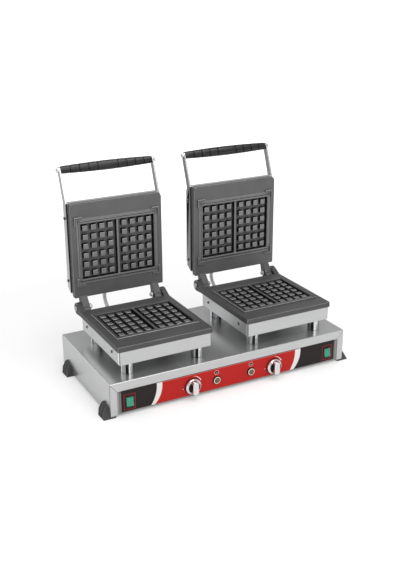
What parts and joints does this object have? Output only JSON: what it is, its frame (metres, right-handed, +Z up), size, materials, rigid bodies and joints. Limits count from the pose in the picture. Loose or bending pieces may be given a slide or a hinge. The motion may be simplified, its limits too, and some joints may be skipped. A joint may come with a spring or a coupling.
{
  "type": "double waffle maker",
  "caption": "Countertop waffle maker with two hinged pairs of square-stud cast plates on a low sheet-steel base with dials, rocker switches and lamps.",
  "frame": {"origin": "middle of the footprint's bounding rectangle, on the table that the rubber feet stand on", "axes": "+X along the base to the right unit as seen from the control panel, +Y from the control panel to the hinges, +Z up"},
  "size_m": [0.686, 0.3822, 0.5162],
  "materials": {
    "steel": "brushed stainless sheet",
    "chrome": "polished",
    "cast_iron": "seasoned cast, satin",
    "label": "printed, satin",
    "black_plastic": "satin",
    "rubber": "matt",
    "grip": "bakelite, satin",
    "rocker": "translucent, lit",
    "lens": "smoked amber",
    "fittings": "plain",
    "heater": "dulled by heat",
    "lead": "ribbed metal hose"
  },
  "bodies": {
    "base": {"base_shell": "steel", "bottom_cover": "steel", "front_panel": "steel", "control_label": "label", "terminal_block": "fittings", "cable_gland": "black_plastic", "left_front_foot": "rubber", "left_rear_foot": "rubber", "left_switch_housing": "black_plastic", "left_thermostat": "fittings", "left_lamp_ring": "chrome", "left_lamp_lens": "lens", "right_front_foot": "rubber", "right_rear_foot": "rubber", "right_switch_housing": "black_plastic", "right_thermostat": "fittings", "right_lamp_ring": "chrome", "right_lamp_lens": "lens", "left_unit_front_leg_outer": "chrome", "left_unit_front_leg_inner": "chrome", "left_unit_rear_leg_outer": "chrome", "left_unit_rear_leg_inner": "chrome", "left_tray": "steel", "left_lower_plate": "cast_iron", "left_lower_element": "heater", "left_base_ferrule": "chrome", "left_flexible_lead": "lead", "left_hinge_bolt_outer": "chrome", "left_hinge_bolt_inner": "chrome", "right_unit_front_leg_outer": "chrome", "right_unit_front_leg_inner": "chrome", "right_unit_rear_leg_outer": "chrome", "right_unit_rear_leg_inner": "chrome", "right_tray": "steel", "right_lower_plate": "cast_iron", "right_lower_element": "heater", "right_base_ferrule": "chrome", "right_flexible_lead": "lead", "right_hinge_bolt_outer": "chrome", "right_hinge_bolt_inner": "chrome"},
    "left_rocker": {"left_rocker": "rocker"},
    "left_dial": {"left_dial_knob": "chrome"},
    "right_rocker": {"right_rocker": "rocker"},
    "right_dial": {"right_dial_knob": "chrome"},
    "left_lid": {"left_upper_plate": "cast_iron", "left_upper_element": "heater", "left_upper_cover": "steel", "left_handle_arm_outer": "chrome", "left_handle_arm_inner": "chrome", "left_handle_grip": "grip", "left_handle_rod": "chrome", "left_lid_ferrule": "chrome"},
    "right_lid": {"right_upper_plate": "cast_iron", "right_upper_element": "heater", "right_upper_cover": "steel", "right_handle_arm_outer": "chrome", "right_handle_arm_inner": "chrome", "right_handle_grip": "grip", "right_handle_rod": "chrome", "right_lid_ferrule": "chrome"}
  },
  "joints": [
    {"name": "left_lid_hinge", "type": "hinge", "parent": "base", "child": "left_lid", "pos_m": [-0.1698, 0.11645, 0.1623], "axis": [1, 0, 0], "range_deg": [0, 90], "deforming": ["left_flexible_lead"]},
    {"name": "right_lid_hinge", "type": "hinge", "parent": "base", "child": "right_lid", "pos_m": [0.1698, 0.11645, 0.1623], "axis": [1, 0, 0], "range_deg": [0, 90], "deforming": ["right_flexible_lead"]},
    {"name": "left_dial_turn", "type": "hinge", "parent": "base", "child": "left_dial", "pos_m": [-0.1135, -0.17205, 0.033], "axis": [0, 1, 0], "range_deg": [0, 270]},
    {"name": "right_dial_turn", "type": "hinge", "parent": "base", "child": "right_dial", "pos_m": [0.1135, -0.17205, 0.033], "axis": [0, 1, 0], "range_deg": [0, 270]},
    {"name": "left_rocker_tilt", "type": "hinge", "parent": "base", "child": "left_rocker", "pos_m": [-0.276, -0.16845, 0.033], "axis": [1, 0, 0], "range_deg": [0, 16]},
    {"name": "right_rocker_tilt", "type": "hinge", "parent": "base", "child": "right_rocker", "pos_m": [0.276, -0.16845, 0.033], "axis": [1, 0, 0], "range_deg": [0, 16]}
  ]
}
